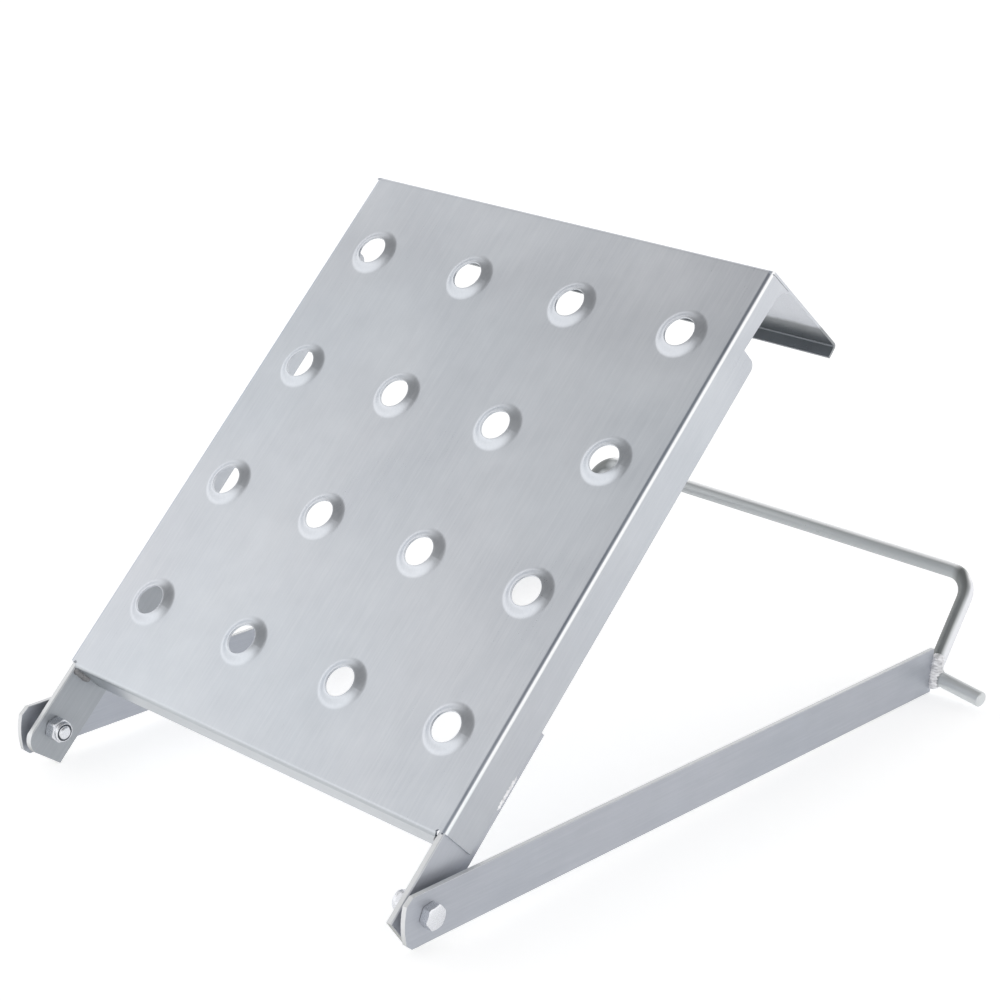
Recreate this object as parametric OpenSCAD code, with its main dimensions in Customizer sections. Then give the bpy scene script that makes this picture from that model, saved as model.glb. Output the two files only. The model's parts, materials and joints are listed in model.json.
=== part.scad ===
// Folding hook-on roof and ladder bracket: a perforated sheet-steel tread with a hook,
// two arms, two swinging legs and a bent rod that joins the legs.
// Millimetres, +Z up, +X across, +Y from the pivot end to the back.
// Origin: floor level, middle of the footprint.

/* [Tread plate] */
// Width across the side flanges
tread_w = 306; // [260:1:340]
// Length from the front bend to the hook bend
tread_l = 359; // [345:1:400]
// Sheet thickness
sheet_t = 1.5; // [1:0.1:2]
// Outside radius of every bend
bend_r = 2.5; // [2.2:0.1:4]
// Depth of the side flanges
flange_h = 28; // [22:1:30]
// Depth of the side flanges close to the hook
flange_step_h = 13.5; // [10:0.5:16]
// Depth of the side flanges at the hook
flange_end_h = 22; // [20:0.5:22]
// Length of the shallow stretch of the side flanges
flange_step_l = 45; // [35:1:55]
// Depth of the front flange
front_h = 28; // [20:1:32]

/* [Hook] */
// Depth of the hook
hook_h = 86; // [60:1:100]
// Outward lean of the hook from square, in degrees
hook_lean = 4.6; // [0:0.1:8]
// Width of the lip at the hook's lower edge
lip_w = 9; // [6:0.5:14]

/* [Raised holes] */
// Radius of each opening
hole_r = 9.2; // [7:0.1:10]
// Radius of the raised collar where it meets the sheet
collar_r = 16; // [14:0.5:18]
// Height of the collar above the tread
collar_h = 3; // [1.5:0.1:4]
// Holes across the tread
hole_cols = 4; // [2:1:4]
// Holes along the tread
hole_rows = 4; // [2:1:4]
// Spacing across the tread
pitch_x = 80; // [70:1:84]
// Spacing along the tread
pitch_y = 84.5; // [70:0.5:86]
// Distance from the front bend to the first row
first_row = 54; // [45:1:60]

/* [Arms] */
// Width of the arm bar
arm_w = 32; // [30:1:34]
// Thickness of the arm bar
arm_t = 4; // [3:0.5:5]
// Length of the arm behind the pivot
arm_reach = 113; // [90:1:150]
// Length of the arm in front of the pivot
arm_nose = 18.3; // [17:0.1:22]
// Distance from the pivot to the tread's front bend
front_gap = 35; // [32:1:50]
// Depth of the pivot below the tread's top face
pivot_drop = 14; // [12:0.5:18]

/* [Legs] */
// Width of the leg bar
leg_w = 30; // [28:1:32]
// Thickness of the leg bar
leg_t = 3; // [3:0.5:4]
// Length of the leg behind the pivot
leg_reach = 458.7; // [420:0.1:480]
// Length of the leg in front of the pivot
leg_nose = 17.6; // [17:0.1:20]
// Angle between the tread and the legs as the bracket stands
leg_angle = 45.7; // [44:0.1:50]

/* [Brace rod] */
// Rod diameter
rod_d = 10; // [8:0.5:12]
// Angle of the risers from the leg's direction
riser_angle = 56.3; // [50:0.1:65]
// Length of the risers between bend corners
riser_l = 68.7; // [55:0.1:80]
// Centreline bend radius at the cross bar
bar_bend_r = 16; // [14:1:20]
// Centreline bend radius at the stubs
stub_bend_r = 9; // [8:1:14]
// Distance from the middle plane to the end of each stub
stub_x = 196; // [185:1:200]
// Forward slope of the stubs, in degrees
stub_flare = 7.4; // [4:0.1:9]

/* [Pivot bolts] */
// Bolt diameter
bolt_d = 8; // [6:1:8]
// Width across the flats of head and nut
hex_af = 13; // [12.5:0.5:14]
// Height of the bolt head
head_h = 5.5; // [4.5:0.1:6.5]
// Height of the lock nut
nut_h = 9.5; // [8.5:0.5:10]
// Outside diameter of the spacer between arm and leg
spacer_d = 16; // [14:0.5:18]
// Length of the spacer
spacer_l = 5; // [4:0.1:6]
// How far the bolt's end stands out of the nut
bolt_proud = 1.2; // [0:0.1:4]

/* [Hidden] */
$fn = 96;

STEEL = [0.74, 0.76, 0.79];
WELD = [0.60, 0.61, 0.63];
NYLON = [0.16, 0.19, 0.24];

// Axial gap on each side of the leg, so that it swings freely
side_play = 0.2;
// Radial play of the leg on its bolt
pivot_play = 0.05;
// Radial play of the bolt in the arm and spacer
bolt_play = 0.25;

// The tread frame has its origin on the pivot axis, +Y along the tread and +Z out of it
top_z = pivot_drop;
front_y = front_gap;
back_y = front_gap + tread_l;
half_w = tread_w / 2;
bend_in = bend_r - sheet_t;
// Distance from the front bend to the start of the side flanges
side_start = 3.3;

// Arms lie against the inside of the side flanges, under the top sheet
arm_out = half_w - sheet_t;
arm_in = arm_out - arm_t;
arm_top = top_z - sheet_t;
arm_low = arm_top - arm_w;
nose_r = 10;
nose_slant = 3.6;

// Legs lie outside the spacers
leg_in = arm_out + spacer_l;
leg_out = leg_in + leg_t;
leg_end_r = 45;
// The bolt hole sits a little above the middle of the leg
leg_sink = 1;
leg_low = -leg_w / 2 - leg_sink;
leg_high = leg_w / 2 - leg_sink;

// The rod's plane holds the X axis and the riser direction
rod_r = rod_d / 2;
// Each bend is drawn a hair thinner than the bars, which reach a little way into it
bend_thinning = 0.02;
lap = 0.05;
rod_x = leg_in + 0.5;
riser_dir = [cos(riser_angle), sin(riser_angle)];
stub_corner = [leg_reach + 4.7, -6];
bar_corner = stub_corner + riser_l * riser_dir;
stub_run = stub_x - rod_x;
stub_end = stub_corner - stub_run * tan(stub_flare) * riser_dir;

// Standing pose: the left arm's lower front corner and the legs' lower rear corners, or the
// stubs' ends where those are lower, touch the floor
arm_toe = [nose_slant - arm_nose, arm_low];
leg_heel = [leg_reach, leg_low];
function turned(p, a) = [p[0] * cos(a) - p[1] * sin(a), p[0] * sin(a) + p[1] * cos(a)];
stub_from_toe = turned(stub_end, -leg_angle) - arm_toe;
heel_from_toe = turned(leg_heel, -leg_angle) - arm_toe;
tilt = max(-atan2(heel_from_toe[1], heel_from_toe[0]),
    asin(rod_r / norm(stub_from_toe)) - atan2(stub_from_toe[1], stub_from_toe[0]));
leg_tilt = tilt - leg_angle;
pivot_z = -turned(arm_toe, tilt)[1];
nose_centre = [nose_r - arm_nose, arm_top - nose_r];
front_reach = min(turned([arm_toe[0], arm_top], tilt)[0],
    turned([leg_end_r - leg_nose, 0], leg_tilt)[0] - leg_end_r);
back_reach = turned(bar_corner, leg_tilt)[0] + rod_r;
pivot_y = -(front_reach + back_reach) / 2;

// ---- placing ----

module in_tread_frame() {
    translate([0, pivot_y, pivot_z]) rotate([tilt, 0, 0]) children();
}

module in_leg_frame() {
    translate([0, pivot_y, pivot_z]) rotate([leg_tilt, 0, 0]) children();
}

// Children drawn for the right-hand side, mirrored for the left
module on_side(side) {
    if (side < 0) mirror([1, 0, 0]) children();
    else children();
}

// A flat outline in the Y-Z plane, given thickness from x0 to x1
module slab(x0, x1) {
    translate([x0, 0, 0]) rotate([90, 0, 90]) linear_extrude(x1 - x0) children();
}

// A bar from y0 to y1 with its outline's straight edges at z0 and z1 eased by size on both faces
module eased_slab(x0, x1, y0, y1, z0, z1, size) {
    side = size * sqrt(2);
    difference() {
        slab(x0, x1) children();
        for (x = [x0, x1], z = [z0, z1]) translate([x, (y0 + y1) / 2, z]) rotate([0, 45, 0])
            cube([side, y1 - y0 + 2, side], center = true);
    }
}

// Part of a ring between two angles less than 180 degrees apart
module ring_sector(r_in, r_out, a0, a1) {
    far = 3 * r_out;
    mid = (a0 + a1) / 2;
    intersection() {
        difference() {
            circle(r_out);
            circle(r_in);
        }
        polygon([[0, 0], [far * cos(a0), far * sin(a0)], [far * cos(mid), far * sin(mid)],
            [far * cos(a1), far * sin(a1)]]);
    }
}

// ---- tread plate ----

// Hook sheet, its bend and its lip, in the Y-Z plane
module hook_outline() {
    bend_y = back_y - bend_r;
    bend_z = top_z - bend_r;
    run = hook_h - 2 * bend_r;
    translate([bend_y, bend_z]) {
        ring_sector(bend_in, bend_r, hook_lean, 90);
        rotate(hook_lean) {
            translate([bend_in, -run]) square([sheet_t, run]);
            translate([0, -run]) ring_sector(bend_in, bend_r, -90, 0);
            translate([bend_r - lip_w, -run - bend_r]) square([lip_w - bend_r, sheet_t]);
        }
    }
}

// Top sheet and front flange, in the Y-Z plane
module front_outline() {
    translate([front_y + bend_r, top_z - bend_r]) ring_sector(bend_in, bend_r, 90, 180);
    translate([front_y, top_z - front_h]) square([sheet_t, front_h - bend_r]);
}

// Side flange, in the Y-Z plane: it steps up before the hook and widens again in a fillet
module flange_outline() {
    step_y = back_y - flange_step_l;
    corner_r = 5;
    hook_gap = 0.3;
    rear_y = back_y - sheet_t - hook_gap;
    fillet_r = 6;
    fillet_y = rear_y - fillet_r;
    sink = 2;
    side_z = top_z - bend_r;
    difference() {
        polygon([[front_y + side_start, side_z], [front_y + side_start, top_z - flange_h],
            [step_y, top_z - flange_h], [step_y, top_z - flange_step_h],
            [fillet_y, top_z - flange_step_h - sink], [fillet_y, top_z - flange_end_h],
            [rear_y + (flange_end_h - bend_r) * tan(hook_lean), top_z - flange_end_h],
            [rear_y, side_z]]);
        translate([step_y - corner_r, top_z - flange_h]) difference() {
            translate([0, -1]) square([corner_r + 1, corner_r + 1]);
            translate([0, corner_r]) circle(corner_r);
        }
        translate([fillet_y, top_z - flange_end_h]) circle(fillet_r);
    }
}

module side_flange() {
    run = tread_l - side_start - bend_r;
    slab(half_w - sheet_t, half_w) flange_outline();
    translate([half_w - bend_r, front_y + side_start + run, top_z - bend_r])
        rotate([90, 0, 0]) linear_extrude(run) ring_sector(bend_in, bend_r, 0, 90);
}

// Sheet risen to a smooth crater edge, as a ring outline of constant thickness
function collar_z(u) = collar_h * (1 + cos(180 * pow(u, 0.85))) / 2;
module collar() {
    steps = 12;
    lap = 0.4;
    upper = [for (i = [0 : steps]) let (u = i / steps)
        [hole_r + u * (collar_r - hole_r), collar_z(u)]];
    outline = concat(upper, [[collar_r + lap, 0], [collar_r + lap, -sheet_t]],
        [for (i = [steps : -1 : 0]) upper[i] - [0, sheet_t]]);
    rotate_extrude() polygon(outline);
}

module at_each_hole() {
    for (col = [0 : hole_cols - 1], row = [0 : hole_rows - 1])
        translate([(col - (hole_cols - 1) / 2) * pitch_x,
            front_y + first_row + row * pitch_y, top_z]) children();
}

module tread_plate() {
    top_x = half_w - bend_r;
    arm_gap = 0.3;
    relief_r = 1.3;
    color(STEEL) in_tread_frame() {
        difference() {
            translate([-top_x, front_y + bend_r, top_z - sheet_t])
                cube([2 * top_x, tread_l - 2 * bend_r, sheet_t]);
            at_each_hole() translate([0, 0, -5]) cylinder(r = collar_r, h = 10);
            for (side = [-1, 1])
                translate([side * (arm_in + 0.5), front_y + bend_r + 0.2, top_z - 5])
                    cylinder(r = relief_r, h = 10);
        }
        at_each_hole() collar();
        slab(arm_gap - arm_in, arm_in - arm_gap) front_outline();
        slab(-half_w, half_w) hook_outline();
        for (side = [-1, 1]) on_side(side) side_flange();
    }
}

// ---- arms and their welds ----

// Bar with one sharp and one rounded front corner, joined by a slanting end
module arm_blank() {
    slope = nose_slant / (nose_centre[1] - arm_low);
    intersection() {
        polygon([[-arm_nose - nose_r * slope, arm_top], [arm_reach, arm_top],
            [arm_reach, arm_low], arm_toe]);
        union() {
            translate(nose_centre) circle(nose_r);
            translate([nose_centre[0], arm_low - 1]) square([2 * arm_reach, arm_w + 2]);
            translate([-2 * arm_nose, arm_low - 1])
                square([2 * arm_reach, nose_centre[1] - arm_low + 1]);
        }
    }
}

// Both arms are cut alike; the right one is welded on the other way up
module arm_outline(side) {
    difference() {
        if (side < 0) arm_blank();
        else translate([0, arm_top + arm_low]) mirror([0, 1]) arm_blank();
        circle(bolt_d / 2 + bolt_play);
    }
}

module arm(side) {
    ease = 0.6;
    color(STEEL) in_tread_frame() on_side(side)
        eased_slab(arm_in, arm_out, arm_toe[0], arm_reach, arm_low, arm_top, ease)
            arm_outline(side);
}

// A run of weld ripples along +Y
module bead(len, r) {
    step = 0.7 * r;
    for (y = [0 : step : len]) translate([0, y, 0]) sphere(r, $fn = 24);
}

// Fillet between the flange's lower edge and the arm's outer face
module edge_weld(side) {
    len = 21;
    start = front_y + 30.5;
    color(WELD) in_tread_frame() on_side(side) difference() {
        translate([arm_out, start, top_z - flange_h]) bead(len, 2.2);
        translate([arm_out - 10, front_y, arm_low - 1]) cube([10, 80, arm_w]);
        translate([arm_in, front_y, top_z - flange_h]) cube([10, 80, flange_h]);
    }
}

// Fillet between the arm's inner face and the front flange
module corner_weld(side) {
    len = 13;
    color(WELD) in_tread_frame() on_side(side) difference() {
        translate([arm_in - 0.6, front_y, top_z - 16]) rotate([90, 0, 0]) bead(len, 2.6);
        translate([arm_in, front_y - 10, arm_low]) cube([10, 20, arm_w]);
        translate([0, front_y, top_z - 40]) cube([half_w, 10, 50]);
    }
}

// ---- pivot bolts ----

// Puts children drawn along +Z on the pivot axis, starting at distance x and leading outwards
module on_pivot(x) {
    translate([x, 0, 0]) rotate([0, 90, 0]) children();
}

module hex_prism(h, chamfer_up, chamfer_down) {
    corner_r = hex_af / 2 / cos(30);
    wide = corner_r + 0.1;
    edge = 1;
    fall = 0.6;
    intersection() {
        rotate(12) cylinder(r = corner_r, h = h, $fn = 6);
        rotate_extrude() polygon([[0, 0], [corner_r - edge * chamfer_down, 0],
            [wide, fall * chamfer_down], [wide, h - fall * chamfer_up],
            [corner_r - edge * chamfer_up, h], [0, h]]);
    }
}

module bolt(side) {
    shank_l = leg_out + side_play - arm_in + nut_h + bolt_proud;
    tip = 0.8;
    color(STEEL) in_tread_frame() on_side(side) on_pivot(leg_out + side_play) {
        hex_prism(head_h, 1, 0);
        rotate_extrude() polygon([[0, -shank_l], [bolt_d / 2 - tip, -shank_l],
            [bolt_d / 2, tip - shank_l], [bolt_d / 2, 0.5], [0, 0.5]]);
    }
}

module spacer(side) {
    color(STEEL) in_tread_frame() on_side(side) on_pivot(arm_out) difference() {
        cylinder(d = spacer_d, h = spacer_l - side_play);
        translate([0, 0, -1]) cylinder(r = bolt_d / 2 + bolt_play, h = spacer_l + 2);
    }
}

thread_gap = 0.02;
ring_seat_r = bolt_d / 2 + 1;
ring_h = 2.2;

module nut(side) {
    collar_low = nut_h - ring_h - 0.4;
    crown_r = hex_af / 2 - 0.4;
    color(STEEL) in_tread_frame() on_side(side) on_pivot(arm_in) mirror([0, 0, 1]) difference() {
        union() {
            hex_prism(collar_low, 1, 1);
            rotate_extrude() polygon([[0, 0.5], [crown_r, collar_low - 1],
                [crown_r, nut_h - 0.8], [crown_r - 0.7, nut_h], [0, nut_h]]);
        }
        translate([0, 0, -1]) cylinder(r = bolt_d / 2 + thread_gap, h = nut_h + 2);
        translate([0, 0, nut_h - ring_h]) cylinder(r = ring_seat_r, h = ring_h + 1);
    }
}

module nut_ring(side) {
    color(NYLON) in_tread_frame() on_side(side) on_pivot(arm_in) mirror([0, 0, 1])
        translate([0, 0, nut_h - ring_h]) difference() {
            cylinder(r = ring_seat_r, h = ring_h - 0.3);
            translate([0, 0, -1]) cylinder(r = bolt_d / 2 + thread_gap, h = ring_h + 2);
        }
}

// ---- legs, rod and their welds ----

// Length of the cut across each corner of the leg's front end
leg_cut = 6;

module leg_outline() {
    cut_z = 5;
    difference() {
        intersection() {
            polygon([[-leg_nose, leg_low + cut_z], [leg_cut - leg_nose, leg_low],
                [leg_reach, leg_low], [leg_reach, leg_high], [leg_cut - leg_nose, leg_high],
                [-leg_nose, leg_high - cut_z]]);
            union() {
                translate([leg_end_r - leg_nose, 0]) circle(leg_end_r);
                translate([leg_end_r - leg_nose, -leg_w]) square([leg_reach, 2 * leg_w]);
            }
        }
        circle(bolt_d / 2 + pivot_play);
    }
}

module leg(side) {
    ease = 0.3;
    ease_y = leg_cut - leg_nose + 1;
    color(STEEL) in_leg_frame() on_side(side)
        eased_slab(leg_in, leg_out, ease_y, leg_reach, leg_low, leg_high, ease) leg_outline();
}

// The rod's flat layout: X across, Y up the risers; children follow the leg frame
module in_rod_plane() {
    translate([0, stub_corner[0], stub_corner[1]]) rotate([riser_angle, 0, 0]) children();
}

// Round bar from the origin along +Y
module bar(len) {
    rotate([-90, 0, 0]) cylinder(r = rod_r, h = len);
}

// Bend that starts at the origin along +Y and turns towards +X, or -X with side = -1
module bend(r, angle, side) {
    translate([side * r, 0, 0]) rotate([0, 0, side > 0 ? 180 - angle : 0])
        rotate_extrude(angle = angle) translate([r, 0]) circle(rod_r - bend_thinning);
}

// Riser, its two bends and its stub
module half_rod() {
    turn = 90 - stub_flare;
    lower = stub_bend_r * tan(turn / 2);
    stub_l = stub_run / cos(stub_flare) - lower;
    translate([rod_x, lower - lap, 0]) bar(riser_l - lower - bar_bend_r + 2 * lap);
    translate([rod_x, riser_l - bar_bend_r, 0]) bend(bar_bend_r, 90, -1);
    translate([rod_x, lower, 0]) rotate([0, 0, 180]) bend(stub_bend_r, turn, -1);
    translate([rod_x, 0, 0]) rotate([0, 0, -90 - stub_flare]) translate([0, lower - lap, 0])
        bar(stub_l + lap);
}

module brace_rod() {
    half_bar = rod_x - bar_bend_r + lap;
    color(STEEL) in_leg_frame() in_rod_plane() {
        for (side = [-1, 1]) on_side(side) half_rod();
        translate([-half_bar, riser_l, 0]) rotate([0, 0, -90]) bar(2 * half_bar);
    }
}

// Fillet that closes the notch between the leg's end and the rod, and runs into the rod
module rod_weld(side) {
    len = 22;
    r = 3.6;
    start_z = leg_low + r + 0.4;
    color(WELD) in_leg_frame() on_side(side) difference() {
        translate([leg_in + leg_t / 2, leg_reach + 1, start_z]) rotate([78, 0, 0]) bead(len, r);
        translate([leg_in, 0, leg_low]) cube([leg_t, leg_reach, leg_w]);
    }
}

tread_plate();
arm(-1);  // left_arm
arm(1);  // right_arm
edge_weld(-1);  // left_edge_weld
edge_weld(1);  // right_edge_weld
corner_weld(-1);  // left_corner_weld
corner_weld(1);  // right_corner_weld
bolt(-1);  // left_bolt
bolt(1);  // right_bolt
spacer(-1);  // left_spacer
spacer(1);  // right_spacer
nut(-1);  // left_nut
nut(1);  // right_nut
nut_ring(-1);  // left_nut_ring
nut_ring(1);  // right_nut_ring
leg(-1);  // left_leg
leg(1);  // right_leg
brace_rod();
rod_weld(-1);  // left_rod_weld
rod_weld(1);  // right_rod_weld
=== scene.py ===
"""The looks of the folding roof bracket: zinc-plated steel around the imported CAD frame."""
import json
import math

import bmesh
import bpy
from mathutils import Matrix, Vector, noise


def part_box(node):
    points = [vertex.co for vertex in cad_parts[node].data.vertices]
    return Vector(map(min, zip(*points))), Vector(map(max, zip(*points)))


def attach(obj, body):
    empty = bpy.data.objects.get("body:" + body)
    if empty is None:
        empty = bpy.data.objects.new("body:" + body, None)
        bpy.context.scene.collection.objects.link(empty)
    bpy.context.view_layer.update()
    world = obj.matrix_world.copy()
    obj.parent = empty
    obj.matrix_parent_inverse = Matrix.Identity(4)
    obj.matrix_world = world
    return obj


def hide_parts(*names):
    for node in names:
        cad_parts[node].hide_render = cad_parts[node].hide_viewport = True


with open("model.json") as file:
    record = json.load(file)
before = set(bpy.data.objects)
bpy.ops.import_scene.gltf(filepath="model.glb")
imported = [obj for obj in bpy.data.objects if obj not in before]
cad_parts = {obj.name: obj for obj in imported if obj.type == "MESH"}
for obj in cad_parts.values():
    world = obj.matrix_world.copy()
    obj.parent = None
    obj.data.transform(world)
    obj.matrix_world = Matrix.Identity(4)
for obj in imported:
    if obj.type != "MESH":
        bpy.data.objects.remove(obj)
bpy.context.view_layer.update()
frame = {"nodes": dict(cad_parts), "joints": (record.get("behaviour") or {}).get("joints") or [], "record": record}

MM = 0.001
RECORD = frame["record"]
MOUNTS = {m["name"]: m for m in RECORD["mounts"]}
FOLD = frame["joints"][0]
PIVOT = Vector(FOLD["pos_m"])

# The hook mount points straight into the tread, which gives the tread's tilt
HOOK_AXIS = Vector(MOUNTS["hook"]["axis"])
TREAD_TILT = math.atan2(HOOK_AXIS.y, -HOOK_AXIS.z)
LEG_TILT = TREAD_TILT + math.radians(FOLD["range_deg"][0])

HEX_FLATS = 13 * MM
HEX_CORNERS = 1.1 * HEX_FLATS
HEAD_HEIGHT = 5.5 * MM
HEAD_FACE_RADIUS = 5.9 * MM
NUT_HEIGHT = 9.5 * MM
NUT_HEX_HEIGHT = 6.8 * MM
NUT_FACE_RADIUS = 6.2 * MM
NUT_COLLAR = 5.9 * MM
NUT_BORE_GAP = 0.04 * MM
BOLT_RADIUS = 4 * MM
THREAD_PITCH = 1.25 * MM
PIVOT_TO_TREAD_TOP = 14 * MM
ROD_RADIUS = MOUNTS["right_stub"]["dims"]["r_mm"] * MM
BAR_BEND = 16 * MM
STUB_BEND = 9 * MM


# ---- meshes ----

def new_object(name, verts, faces, sharp_angle=math.radians(35)):
    """A smooth-shaded object whose edges stay sharp where faces meet at more than sharp_angle."""
    mesh = bpy.data.meshes.new(name)
    mesh.from_pydata([tuple(v) for v in verts], [], faces)
    bm = bmesh.new()
    bm.from_mesh(mesh)
    bmesh.ops.remove_doubles(bm, verts=bm.verts, dist=1e-7)
    bmesh.ops.recalc_face_normals(bm, faces=bm.faces)
    for face in bm.faces:
        face.smooth = True
    for edge in bm.edges:
        edge.smooth = len(edge.link_faces) == 2 and edge.calc_face_angle(0) < sharp_angle
    bm.to_mesh(mesh)
    bm.free()
    obj = bpy.data.objects.new(name, mesh)
    bpy.context.scene.collection.objects.link(obj)
    return obj


def rings_to_mesh(rings, close_start=True, close_end=True):
    """Vertices and faces of a tube through rings that all have the same number of points."""
    count = len(rings[0])
    verts = [p for ring in rings for p in ring]
    faces = []
    for i in range(len(rings) - 1):
        for j in range(count):
            k = (j + 1) % count
            faces.append((i * count + j, i * count + k, (i + 1) * count + k, (i + 1) * count + j))
    if close_start:
        verts.append(sum(rings[0], Vector()) / count)
        faces += [(len(verts) - 1, (j + 1) % count, j) for j in range(count)]
    if close_end:
        last = (len(rings) - 1) * count
        verts.append(sum(rings[-1], Vector()) / count)
        faces += [(len(verts) - 1, last + j, last + (j + 1) % count) for j in range(count)]
    return verts, faces


def rounded_path(corners, radii, step):
    """Points along straight runs through corners, with an arc of its radius at each inner one."""
    points = [corners[0]]
    for before, corner, after, radius in zip(corners, corners[1:], corners[2:], radii):
        a = (before - corner).normalized()
        b = (after - corner).normalized()
        half = a.angle(b) / 2
        centre = corner + (a + b).normalized() * radius / math.sin(half)
        start = corner + a * radius / math.tan(half)
        end = corner + b * radius / math.tan(half)
        turn = math.pi - 2 * half
        axis = (start - centre).cross(end - centre)
        pieces = max(4, round(radius * turn / step))
        for i in range(pieces + 1):
            spin = Matrix.Rotation(turn * i / pieces, 3, axis)
            points.append(centre + spin @ (start - centre))
    points.append(corners[-1])
    return points


def swept_rings(points, radius_at, segments):
    """Circles square to the path; radius_at(distance, angle) gives the radius."""
    rings = []
    side = None
    travelled = 0
    for i, p in enumerate(points):
        ahead = points[min(i + 1, len(points) - 1)] - points[max(i - 1, 0)]
        ahead.normalize()
        if side is None:
            side = ahead.orthogonal().normalized()
        side = (side - ahead * side.dot(ahead)).normalized()
        up = ahead.cross(side)
        if i:
            travelled += (p - points[i - 1]).length
        ring = []
        for j in range(segments):
            angle = 2 * math.pi * j / segments
            out = side * math.cos(angle) + up * math.sin(angle)
            ring.append(p + out * radius_at(travelled, angle))
        rings.append(ring)
    return rings


def hexagon_radius(angle, flats):
    """Distance from the centre to the side of a hexagon in the direction of angle."""
    sixth = math.pi / 3
    return flats / 2 / math.cos((angle + sixth / 2) % sixth - sixth / 2)


def hex_rings(height, flats, face_radius, chamfer_low, turn=0.0):
    """Rings of a hexagon along +Z, its corners cut by a 30 degree cone at one or both ends."""
    segments = 120
    slope = math.tan(math.radians(30))
    rings = []

    def ring(radius_at, z_at):
        points = []
        for j in range(segments):
            angle = 2 * math.pi * j / segments
            radius = radius_at(angle)
            points.append(Vector((radius * math.cos(angle + turn),
                                  radius * math.sin(angle + turn), z_at(radius))))
        rings.append(points)

    def side(angle):
        return min(hexagon_radius(angle, flats), HEX_CORNERS / 2)

    if chamfer_low:
        ring(lambda a: face_radius, lambda r: 0)
        ring(side, lambda r: max(0, r - face_radius) * slope)
    else:
        ring(side, lambda r: 0)
    ring(side, lambda r: height - max(0, r - face_radius) * slope)
    ring(lambda a: face_radius, lambda r: height)
    return rings


def lathe_rings(profile, segments=96):
    """Rings about +Z through (radius, height) pairs."""
    rings = []
    for radius, height in profile:
        rings.append([Vector((radius * math.cos(2 * math.pi * j / segments),
                              radius * math.sin(2 * math.pi * j / segments), height))
                      for j in range(segments)])
    return rings


def thread_rings(start, end, radius, pitch, segments=64):
    """Rings of a threaded shank along +Z, fading out over the last turn to a chamfered end."""
    depth = 0.61 * pitch
    rows = round((end - start) / (pitch / 8))
    rings = []
    for i in range(rows + 1):
        z = start + (end - start) * i / rows
        limit = radius - max(0, z - (end - 0.9 * MM))
        ring = []
        for j in range(segments):
            phase = (z / pitch - j / segments) % 1
            cut = depth * max(0, 1 - 2.4 * abs(phase - 0.5))
            r = min(radius - cut, limit)
            angle = 2 * math.pi * j / segments
            ring.append(Vector((r * math.cos(angle), r * math.sin(angle), z)))
        rings.append(ring)
    return rings


def on_pivot(obj, side, x, outward=True):
    """Turns an object drawn along +Z so that it leads out, or in, along X from distance x."""
    lead = side if outward else -side
    turn = Matrix.Rotation(lead * math.pi / 2, 4, "Y")
    place = Matrix.Translation(Vector((side * x, PIVOT.y, PIVOT.z)))
    obj.data.transform(place @ turn)
    obj.data.update()


def joined(name, parts, sharp_angle=math.radians(35)):
    """One object from several (vertices, faces) pairs."""
    verts, faces = [], []
    for part_verts, part_faces in parts:
        base = len(verts)
        verts += part_verts
        faces += [tuple(base + i for i in f) for f in part_faces]
    return new_object(name, verts, faces, sharp_angle)


# ---- materials ----

class Graph:
    """Short calls for building a material's nodes."""

    def __init__(self, name):
        self.material = bpy.data.materials.new(name)
        self.material.use_nodes = True
        self.tree = self.material.node_tree
        self.shader = self.tree.nodes["Principled BSDF"]

    def node(self, kind, inputs=None, **settings):
        made = self.tree.nodes.new(kind)
        for key, value in settings.items():
            setattr(made, key, value)
        for key, value in (inputs or {}).items():
            self.put(made.inputs[key], value)
        return made

    def put(self, socket, value):
        if isinstance(value, bpy.types.NodeSocket):
            self.tree.links.new(value, socket)
        else:
            socket.default_value = value

    def math(self, operation, a, b=0.0):
        return self.node("ShaderNodeMath", {0: a, 1: b}, operation=operation).outputs[0]

    def noise(self, vector, scale, detail=3.0, roughness=0.5, distortion=0.0):
        made = self.node("ShaderNodeTexNoise", {"Vector": vector, "Scale": scale, "Detail": detail,
                                                "Roughness": roughness, "Distortion": distortion})
        return made.outputs["Fac"]

    def ramp(self, fac, stops):
        made = self.node("ShaderNodeValToRGB", {"Fac": fac})
        ramp = made.color_ramp
        while len(ramp.elements) < len(stops):
            ramp.elements.new(0.5)
        for element, (place, value) in zip(ramp.elements, stops):
            element.position = place
            element.color = value if len(value) == 4 else (*value, 1)
        return made.outputs["Color"]

    def grey(self, fac, low, high, at_low=0.0, at_high=1.0):
        made = self.node("ShaderNodeMapRange", {"Value": fac, "To Min": low, "To Max": high,
                                                "From Min": at_low, "From Max": at_high})
        return made.outputs["Result"]

    def mix(self, fac, a, b, blend="MIX"):
        made = self.node("ShaderNodeMix", data_type="RGBA", blend_type=blend)
        self.put(made.inputs[0], fac)
        self.put(made.inputs[6], a)
        self.put(made.inputs[7], b)
        return made.outputs[2]

    def coords(self, tilt, stretch=(1, 1, 1)):
        """Object coordinates turned so that Y runs along a bar tilted by tilt, then stretched."""
        place = self.node("ShaderNodeTexCoord").outputs["Object"]
        turned = self.node("ShaderNodeMapping", {"Vector": place, "Rotation": (-tilt, 0, 0)})
        made = self.node("ShaderNodeMapping", {"Vector": turned.outputs["Vector"],
                                               "Scale": stretch})
        return made.outputs["Vector"]

    def bump(self, height, strength, distance, normal=None):
        made = self.node("ShaderNodeBump", {"Height": height, "Strength": strength,
                                            "Distance": distance})
        if normal is not None:
            self.put(made.inputs["Normal"], normal)
        return made.outputs["Normal"]


def parts_of(g, vector):
    """The X, Y and Z of a vector, as sockets."""
    return g.node("ShaderNodeSeparateXYZ", {"Vector": vector}).outputs


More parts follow.
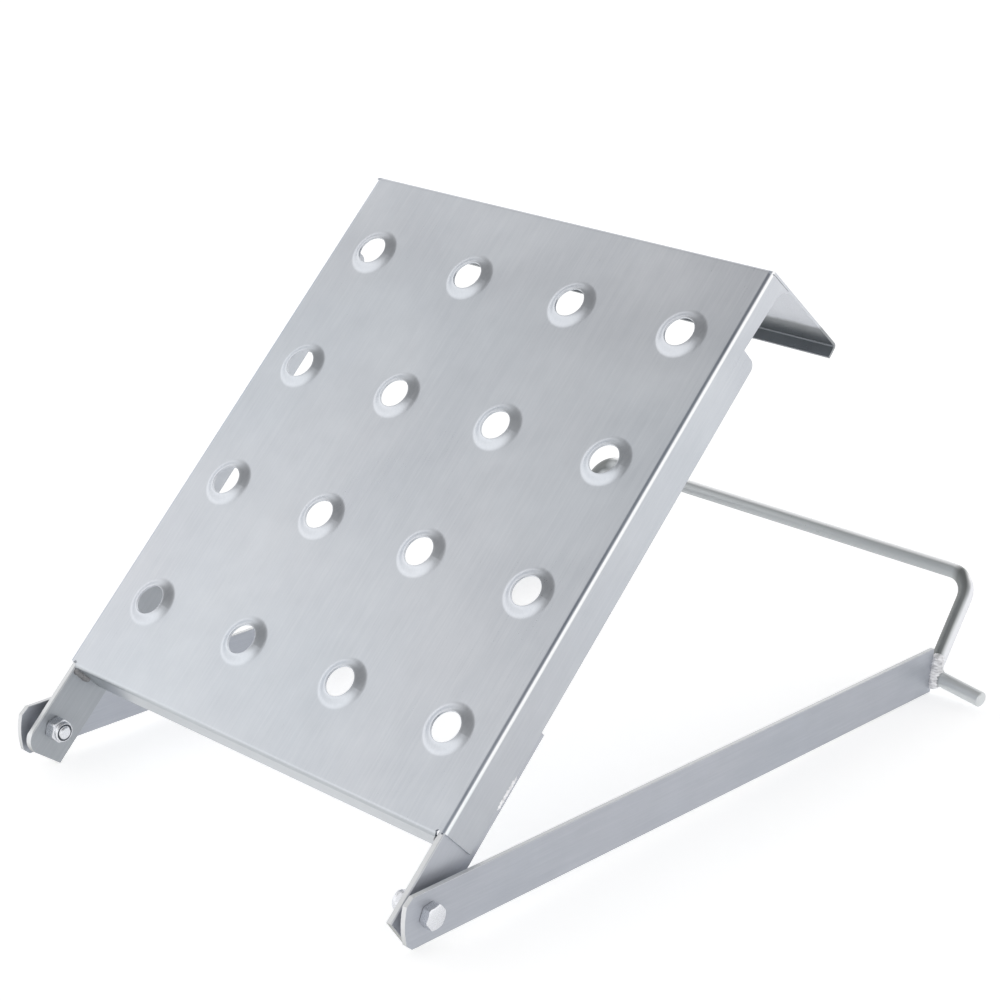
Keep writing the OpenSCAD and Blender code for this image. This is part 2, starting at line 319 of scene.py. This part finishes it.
def facing_parts(g):
    """The X, Y and Z of the surface normal in the object's own space."""
    return parts_of(g, g.node("ShaderNodeTexCoord").outputs["Normal"])


def bar_painted_light(g, tone):
    """Painted light on a flat bar's narrow faces: a painted highlight where they face up, painted shade where they
    face down.
    """
    normal = facing_parts(g)
    narrow = g.grey(g.math("ABSOLUTE", normal["X"]), 1, 0, 0.45, 0.9)
    # Painted highlight on up-facing narrow faces, painted shade on down-facing ones.
    narrow_face_light = g.ramp(g.grey(normal["Z"], 0, 1, -0.6, 0),
                       [(0, (0.33, 0.34, 0.33)), (1, (0.72, 0.73, 0.74))])
    return g.mix(narrow, tone, narrow_face_light)


def rod_painted_light(g, tone):
    """Painted light on the bent rod: painted darker behind the stubs with a painted highlight along the top, and
    the risers with a painted dark reflection on the left and a painted bright reflection on the right.

    They are painted copies of what the photo's rod reflects, so they stay on the rod from every view.
    """
    normal = facing_parts(g)
    place = parts_of(g, g.node("ShaderNodeTexCoord").outputs["Object"])
    # Painted shade: the rod darker behind the stubs.
    rear = g.grey(place["Y"], 0, 1, 235 * MM, 250 * MM)
    tone = g.mix(rear, tone, (0.44, 0.46, 0.47, 1))
    # Painted highlight along the top of the rod behind the stubs.
    upward = g.math("ADD", g.math("MULTIPLY", normal["Y"], 0.45),
                    g.math("MULTIPLY", normal["Z"], 0.89))
    top_highlight = g.math("MULTIPLY", rear, g.grey(upward, 0, 1, 0.4, 0.65))
    tone = g.mix(top_highlight, tone, (0.92, 0.93, 0.94, 1))
    reach = g.math("ABSOLUTE", place["X"])
    riser = g.math("MULTIPLY", g.grey(reach, 0, 1, 144 * MM, 149 * MM),
                   g.grey(reach, 1, 0, 163 * MM, 166 * MM))
    # Painted reflections on the risers: dark on the left side, bright on the right.
    dark_side_reflection = g.math("MULTIPLY", riser, g.grey(normal["X"], 1, 0, 0.4, 0.65))
    tone = g.mix(dark_side_reflection, tone, (0.2, 0.21, 0.21, 1))
    bright_side_reflection = g.math("MULTIPLY", riser, g.grey(normal["X"], 0, 1, 0.68, 0.85))
    return g.mix(bright_side_reflection, tone, (0.78, 0.79, 0.82, 1))


def tread_painted_light(g, tone):
    """Painted light and shade over the tread: painted shade on the flanges, the front, the upper tread and the
    lower hook, and painted reflection lines over the bends.
    """
    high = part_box("tread_plate")[1]
    pivot = Matrix.Rotation(-TREAD_TILT, 3, "X") @ PIVOT
    place = parts_of(g, g.coords(TREAD_TILT))
    across = g.math("ABSOLUTE", facing_parts(g)["X"])
    along = g.math("SUBTRACT", place["Y"], pivot.y)
    depth = g.math("SUBTRACT", pivot.z + PIVOT_TO_TREAD_TOP, place["Z"])
    inset = g.math("SUBTRACT", high.x, g.math("ABSOLUTE", place["X"]))
    wobble = g.grey(g.noise(g.coords(TREAD_TILT), 60, 2), -1.5 * MM, 1.5 * MM, 0.3, 0.7)

    # Painted shade: the side flanges darker towards the front.
    flange = g.math("MULTIPLY", g.grey(across, 0, 1, 0.6, 0.9),
                    g.grey(along, 0.30, 0.04, 60 * MM, 340 * MM))
    tone = g.mix(flange, tone, (0.2, 0.21, 0.23, 1))
    # Painted shade on the front flange.
    front = g.grey(along, 0.34, 0, 36 * MM, 37.5 * MM)
    tone = g.mix(front, tone, (0.25, 0.27, 0.26, 1))
    # Painted shade: a darker band over the upper tread.
    upper_band_shade = g.math("MULTIPLY", g.grey(along, 0.10, 0, 330 * MM, 150 * MM),
                  g.grey(along, 1, 0, 345 * MM, 380 * MM))
    tone = g.mix(upper_band_shade, tone, (0.3, 0.31, 0.33, 1))
    # Painted shade over the lower hook, up to a ragged edge.
    hook = g.grey(g.math("ADD", depth, wobble), 0, 0.62, 61 * MM, 65 * MM)
    tone = g.mix(hook, tone, (0.12, 0.13, 0.125, 1))

    # Painted reflection over the bend: a dark line, then a bright one; OVERLAY leaves mid grey as it is
    bend = g.grey(g.math("SUBTRACT", depth, inset), 0, 1, -3 * MM, 3.5 * MM)
    plain, dark, darkish, bright = [(grey,) * 3 for grey in (0.5, 0.12, 0.16, 0.95)]
    bend_reflection = g.ramp(bend, [(0.06, plain), (0.2, dark), (0.38, darkish),
                          (0.54, bright), (0.78, bright), (0.94, plain)])
    near_bend = g.math("MULTIPLY", g.grey(inset, 0.75, 0, 2.6 * MM, 3.2 * MM),
                       g.grey(depth, 1, 0, 2.8 * MM, 3.4 * MM))
    return g.mix(near_bend, tone, g.mix(1.0, tone, bend_reflection, "OVERLAY"))


def zinc(name, tilt, light, dark, roughness, edge, grain=1.0, metal=1.0, painted_light=None):
    """Bright zinc plate on steel: drawn grain, cloudy tone, fine speckle, painted light and shade from the last
    argument, and worn edges lightened also as a painted edge highlight.
    """
    g = Graph(name)
    plain = g.coords(tilt)
    along = g.coords(tilt, (1, 0.03, 1))
    clouds = g.noise(plain, 9, 4, 0.55, 0.4)
    blotches = g.noise(plain, 45, 5, 0.6)
    speckle = g.noise(plain, 1400, 2, 0.6)
    streaks = g.noise(along, 900, 4, 0.65)
    lines = g.noise(along, 260, 2, 0.5)
    scratches = g.noise(g.coords(tilt + 0.5, (1, 0.02, 1)), 500, 1, 0.4)

    tone = g.ramp(clouds, [(0.32, dark), (0.68, light)])
    tone = g.mix(g.grey(blotches, 0, 0.22, 0.35, 0.7), tone, (*[c * 0.86 for c in dark], 1))
    tone = g.mix(g.grey(streaks, 0, 0.16 * grain, 0.4, 0.75), tone, (0.95, 0.95, 0.96, 1))
    tint = g.ramp(g.noise(plain, 5.5, 2, 0.5),
                  [(0.35, (0.975, 0.985, 1.0)), (0.65, (1.0, 0.992, 1.0))])
    tone = g.mix(1.0, tone, tint, "MULTIPLY")

    bevel = g.node("ShaderNodeBevel", {"Radius": edge}, samples=6)
    flat = g.node("ShaderNodeNewGeometry").outputs["Normal"]
    # Painted light and shade, from the function given for it.
    if painted_light:
        tone = painted_light(g, tone)
    facing = g.node("ShaderNodeVectorMath", {0: bevel.outputs["Normal"], 1: flat},
                    operation="DOT_PRODUCT")
    # Worn edges, lightened also as a painted edge highlight.
    edge_wear_and_highlight = g.grey(facing.outputs["Value"], 0.6, 0, 0.8, 0.99)
    edge_wear_and_highlight = g.math("MULTIPLY", edge_wear_and_highlight, g.grey(g.noise(plain, 120, 4, 0.7), 0.3, 1, 0.35, 0.6))
    tone = g.mix(edge_wear_and_highlight, tone, (0.9, 0.91, 0.93, 1))

    gloss = g.math("ADD", roughness, g.grey(clouds, -0.05, 0.05, 0.3, 0.7))
    gloss = g.math("ADD", gloss, g.grey(streaks, -0.05 * grain, 0.05 * grain, 0.3, 0.7))
    gloss = g.math("ADD", gloss, g.grey(speckle, -0.03, 0.03, 0.3, 0.7))
    gloss = g.math("SUBTRACT", gloss, g.grey(scratches, 0, 0.03, 0.68, 0.72))

    height = g.math("ADD", g.math("MULTIPLY", streaks, 0.5 * grain),
                    g.math("MULTIPLY", speckle, 0.5))
    normal = g.bump(height, 0.10, 0.06 * MM, bevel.outputs["Normal"])
    normal = g.bump(lines, 0.06 * grain, 0.2 * MM, normal)
    normal = g.bump(blotches, 0.05, 0.4 * MM, normal)
    g.put(g.shader.inputs["Base Color"], tone)
    g.shader.inputs["Metallic"].default_value = metal
    g.put(g.shader.inputs["Roughness"], gloss)
    g.put(g.shader.inputs["Normal"], normal)
    return g.material


def weld_metal(name, brightness):
    """Plated weld bead: coarse ripples, dull grey with light crests and dark spots of slag."""
    g = Graph(name)
    plain = g.coords(0)
    lumps = g.noise(plain, 320, 2, 0.5)
    fine = g.noise(plain, 2600, 3, 0.6)
    spots = g.noise(plain, 900, 2, 0.5)
    tone = g.ramp(lumps, [(place, [brightness * c for c in (grey, grey, grey + 0.02)])
                          for place, grey in ((0.3, 0.62), (0.5, 0.80), (0.72, 0.92))])
    tone = g.mix(g.grey(spots, 0, 0.5, 0.72, 0.78), tone, (0.2, 0.2, 0.19, 1))
    g.put(g.shader.inputs["Base Color"], tone)
    g.shader.inputs["Metallic"].default_value = 0.5
    g.put(g.shader.inputs["Roughness"], g.grey(fine, 0.34, 0.62, 0.3, 0.7))
    normal = g.bump(lumps, 0.5, 0.8 * MM)
    g.put(g.shader.inputs["Normal"], g.bump(fine, 0.25, 0.2 * MM, normal))
    return g.material


def nylon(name):
    """Dark nylon of a lock nut's ring, with faint moulding grain and dust."""
    g = Graph(name)
    plain = g.coords(0)
    grain = g.noise(plain, 1800, 3, 0.6)
    dust = g.noise(plain, 300, 4, 0.6)
    tone = g.mix(g.grey(dust, 0, 0.35, 0.45, 0.75), (0.035, 0.045, 0.06, 1), (0.2, 0.21, 0.22, 1))
    g.put(g.shader.inputs["Base Color"], tone)
    g.put(g.shader.inputs["Roughness"], g.grey(grain, 0.42, 0.6, 0.3, 0.7))
    g.put(g.shader.inputs["Normal"], g.bump(grain, 0.2, 0.08 * MM))
    return g.material


# Roughness and the width of the worn, painted-highlight edge follow the light and dark tones.
# The left and right arms differ because the photo shows them in different light.
sheet_zinc = zinc("sheet_zinc", TREAD_TILT, (0.665, 0.69, 0.72), (0.57, 0.595, 0.63),
                  0.36, 0.3 * MM, painted_light=tread_painted_light)
arm_zinc = {
    "left": zinc("left_arm_zinc", TREAD_TILT, (0.38, 0.40, 0.42), (0.34, 0.36, 0.38),
                 0.40, 0.4 * MM, grain=0.5, metal=0.7, painted_light=bar_painted_light),
    "right": zinc("right_arm_zinc", TREAD_TILT, (0.50, 0.52, 0.56), (0.45, 0.47, 0.51),
                  0.42, 0.4 * MM, grain=0.5, metal=0.5, painted_light=bar_painted_light),
}
leg_zinc = zinc("leg_zinc", LEG_TILT, (0.44, 0.46, 0.50), (0.40, 0.42, 0.46),
                0.42, 0.4 * MM, grain=0.5, metal=0.6, painted_light=bar_painted_light)
rod_zinc = zinc("rod_zinc", LEG_TILT, (0.68, 0.70, 0.70), (0.62, 0.64, 0.64),
                0.34, 0.1 * MM, grain=0.2, metal=0.5, painted_light=rod_painted_light)
fastener_zinc = zinc("fastener_zinc", 0, (0.78, 0.79, 0.81), (0.68, 0.69, 0.72),
                     0.26, 0.25 * MM, grain=0.3)
bright_weld = weld_metal("bright_weld", 1.0)
# A dark copy of the weld metal: painted shade for the bead in the front corner under the tread.
shaded_weld = weld_metal("shaded_weld", 0.28)
ring_nylon = nylon("ring_nylon")


def dress(obj, material):
    obj.data.materials.clear()
    obj.data.materials.append(material)


def dress_cad(node, material):
    """A carried-over CAD node keeps its mesh and gets a new material in its slots."""
    for slot in frame["nodes"][node].material_slots:
        slot.material = material


# ---- pieces ----

def make_rod():
    """The bent rod, swept along its own centreline, with chamfered sawn ends."""
    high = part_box("brace_rod")[1]
    bar_y = high.y - ROD_RADIUS
    bar_z = high.z - ROD_RADIUS
    riser_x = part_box("right_leg")[0].x + 0.5 * MM
    stub = MOUNTS["right_stub"]
    middle = Vector(stub["pos_m"])
    axis = Vector(stub["axis"])
    end = middle + axis * (stub["dims"]["length_mm"] / 2 + 0.5) * MM
    corner = middle + axis * (riser_x - middle.x) / axis.x
    right = [end, corner, Vector((riser_x, bar_y, bar_z))]
    left = [Vector((-p.x, p.y, p.z)) for p in reversed(right)]
    points = rounded_path(right + left, [STUB_BEND, BAR_BEND, BAR_BEND, STUB_BEND], 1.2 * MM)
    total = sum((b - a).length for a, b in zip(points, points[1:]))
    chamfer = 0.6 * MM
    first_cut = points[0].lerp(points[1], chamfer / (points[1] - points[0]).length)
    last_cut = points[-1].lerp(points[-2], chamfer / (points[-2] - points[-1]).length)
    points = [points[0], first_cut] + points[1:-1] + [last_cut, points[-1]]

    def radius_at(distance, angle):
        from_end = min(distance, total - distance)
        return ROD_RADIUS - max(0, chamfer - from_end)

    verts, faces = rings_to_mesh(swept_rings(points, radius_at, 48))
    rod = new_object("rod", verts, faces)
    dress(rod, rod_zinc)
    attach(rod, "legs")
    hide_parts("brace_rod")


def make_weld(name, node, body, start, end, radius, seed, metal):
    """A weld bead of overlapping ripples from start to end."""
    length = (end - start).length
    count = max(16, round(length / (0.25 * MM)))
    points = [start.lerp(end, i / count) for i in range(count + 1)]
    pitch = 1.9 * MM

    def radius_at(distance, angle):
        ripple = abs(math.sin(math.pi * distance / pitch))
        place = Vector((distance * 500, math.cos(angle) * 1.5, math.sin(angle) * 1.5 + seed))
        taper = math.sqrt(max(0, 1 - (2 * distance / length - 1) ** 6))
        return radius * taper * (0.86 + 0.14 * ripple + 0.16 * noise.noise(place))

    verts, faces = rings_to_mesh(swept_rings(points, radius_at, 28))
    bead = new_object(name, verts, faces, math.radians(80))
    dress(bead, metal)
    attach(bead, body)
    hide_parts(node)


def make_bolt(side, word):
    """Hexagon bolt: head outside the leg, plain shank, then a cut thread inside the nut."""
    leg_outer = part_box("right_leg")[1].x + 0.2 * MM
    bolt_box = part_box(word + "_bolt")
    inner_end = min(abs(bolt_box[0].x), abs(bolt_box[1].x))
    head_turn = math.radians(8)
    head = rings_to_mesh(hex_rings(HEAD_HEIGHT, HEX_FLATS, HEAD_FACE_RADIUS, False, head_turn))
    shank_length = leg_outer - inner_end
    plain = rings_to_mesh(lathe_rings([(BOLT_RADIUS, 0.5 * MM),
                                       (BOLT_RADIUS, -shank_length * 0.5)]))
    thread = thread_rings(shank_length * 0.5, shank_length, BOLT_RADIUS, THREAD_PITCH)
    for ring in thread:
        for p in ring:
            p.z = -p.z
    bolt = joined(word + "_hex_bolt", [head, plain, rings_to_mesh(thread)])
    on_pivot(bolt, side, leg_outer)
    dress(bolt, fastener_zinc)
    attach(bolt, "platform")
    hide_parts(word + "_bolt")


def make_nut(side, word):
    """Lock nut: hexagon, then a rounded collar that holds the nylon ring."""
    arm_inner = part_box("right_arm")[0].x
    body = hex_rings(NUT_HEX_HEIGHT, HEX_FLATS, NUT_FACE_RADIUS, True, math.radians(14))
    bore = BOLT_RADIUS + NUT_BORE_GAP
    rim = lathe_rings([(NUT_COLLAR + 0.2 * MM, NUT_HEX_HEIGHT),
                       (NUT_COLLAR, NUT_HEX_HEIGHT + 0.2 * MM),
                       (NUT_COLLAR, NUT_HEIGHT - 0.9 * MM),
                       (NUT_COLLAR - 0.15 * MM, NUT_HEIGHT - 0.3 * MM),
                       (NUT_COLLAR - 0.4 * MM, NUT_HEIGHT),
                       (NUT_COLLAR - 0.8 * MM, NUT_HEIGHT - 0.1 * MM),
                       (NUT_COLLAR - 0.9 * MM, NUT_HEIGHT - 2.2 * MM),
                       (bore, NUT_HEIGHT - 2.3 * MM), (bore, 0)], 120)
    nut = joined(word + "_lock_nut", [rings_to_mesh(body + rim, False, False)])
    bm = bmesh.new()
    bm.from_mesh(nut.data)
    open_edges = [e for e in bm.edges if e.is_boundary]
    bmesh.ops.bridge_loops(bm, edges=open_edges)
    bmesh.ops.recalc_face_normals(bm, faces=bm.faces)
    bm.to_mesh(nut.data)
    bm.free()
    on_pivot(nut, side, arm_inner, outward=False)
    dress(nut, fastener_zinc)
    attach(nut, "platform")
    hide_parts(word + "_nut")


def make_welds(side, word):
    """Beads at the leg's end, under the flange's edge and in the front corner."""
    low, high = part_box(word + "_rod_weld")
    x = (low.x + high.x) / 2 + side * 2.4 * MM
    top = Vector((x, high.y - 5 * MM, high.z - 1.5 * MM))
    bottom = Vector((x, low.y + 3.6 * MM, low.z + 1.5 * MM))
    make_weld(word + "_rod_bead", word + "_rod_weld", "legs", bottom, top,
              4.8 * MM, 3.1 * side, bright_weld)
    low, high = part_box(word + "_edge_weld")
    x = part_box("right_arm")[1].x * side
    inset = Vector((0, 1.2 * MM, 1.2 * MM))
    make_weld(word + "_edge_bead", word + "_edge_weld", "platform",
              Vector((x, low.y, low.z)) + inset, Vector((x, high.y, high.z)) - inset,
              2 * MM, 7.7 * side, bright_weld)
    # The corner bead is painted dark, as painted shade under the tread.
    low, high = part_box(word + "_corner_weld")
    x = (low.x + high.x) / 2 + side * 1.2 * MM
    make_weld(word + "_corner_bead", word + "_corner_weld", "platform",
              Vector((x, high.y - 1.5 * MM, low.z + 1.5 * MM)),
              Vector((x, low.y + 1.5 * MM, high.z - 1.5 * MM)), 2.6 * MM, 11.3 * side, shaded_weld)


dress_cad("tread_plate", sheet_zinc)
make_rod()
for side, word in ((-1, "left"), (1, "right")):
    dress_cad(word + "_arm", arm_zinc[word])
    dress_cad(word + "_leg", leg_zinc)
    dress_cad(word + "_spacer", fastener_zinc)
    dress_cad(word + "_nut_ring", ring_nylon)
    make_bolt(side, word)
    make_nut(side, word)
    make_welds(side, word)


# ---- floor, light, camera ----

def make_floor(paint, glow):
    """A matt floor that glows a little, so that it fades into the white surround."""
    reach = 12
    corners = [(-reach, -reach, 0), (reach, -reach, 0), (reach, reach, 0), (-reach, reach, 0)]
    floor = new_object("floor", corners, [(0, 1, 2, 3)])
    g = Graph("floor_paint")
    tone = g.ramp(g.noise(g.coords(0), 3, 3), [(0.3, (paint,) * 3), (0.7, (paint + 0.02,) * 3)])
    g.put(g.shader.inputs["Base Color"], tone)
    g.shader.inputs["Roughness"].default_value = 0.9
    g.shader.inputs["Specular IOR Level"].default_value = 0.1
    g.shader.inputs["Emission Color"].default_value = (1, 1, 1, 1)
    g.shader.inputs["Emission Strength"].default_value = glow
    dress(floor, g.material)


def make_world(low, high, start, end, lead):
    """Studio surround whose brightness changes from low to high along the direction lead."""
    world = bpy.data.worlds.new("studio")
    world.use_nodes = True
    nodes, links = world.node_tree.nodes, world.node_tree.links
    back = nodes["Background"]
    place = nodes.new("ShaderNodeTexCoord")
    along = nodes.new("ShaderNodeVectorMath")
    along.operation = "DOT_PRODUCT"
    along.inputs[1].default_value = Vector(lead).normalized()
    links.new(place.outputs["Generated"], along.inputs[0])
    span = nodes.new("ShaderNodeMapRange")
    span.interpolation_type = "SMOOTHSTEP"
    for key, value in (("From Min", start), ("From Max", end), ("To Min", low), ("To Max", high)):
        span.inputs[key].default_value = value
    links.new(along.outputs["Value"], span.inputs["Value"])
    back.inputs["Color"].default_value = (1, 1, 1, 1)
    links.new(span.outputs["Result"], back.inputs["Strength"])
    bpy.context.scene.world = world


def make_camera():
    """The camera solved from the hole grid and the tread's corners."""
    camera = bpy.data.cameras.new("camera")
    camera.sensor_width = 36
    camera.lens = 88.63
    camera.clip_end = 100
    obj = bpy.data.objects.new("camera", camera)
    obj.location = (0.92314, -1.03502, 0.65454)
    obj.rotation_euler = [math.radians(a) for a in (69.7457, -1.2250, 42.8257)]
    bpy.context.scene.collection.objects.link(obj)
    bpy.context.scene.camera = obj


make_floor(0.8, 0.50)
make_world(1.3, 0.35, 0.38, 0.88, (0.1, 0, 1))
make_camera()
bpy.context.scene.view_settings.view_transform = "Standard"
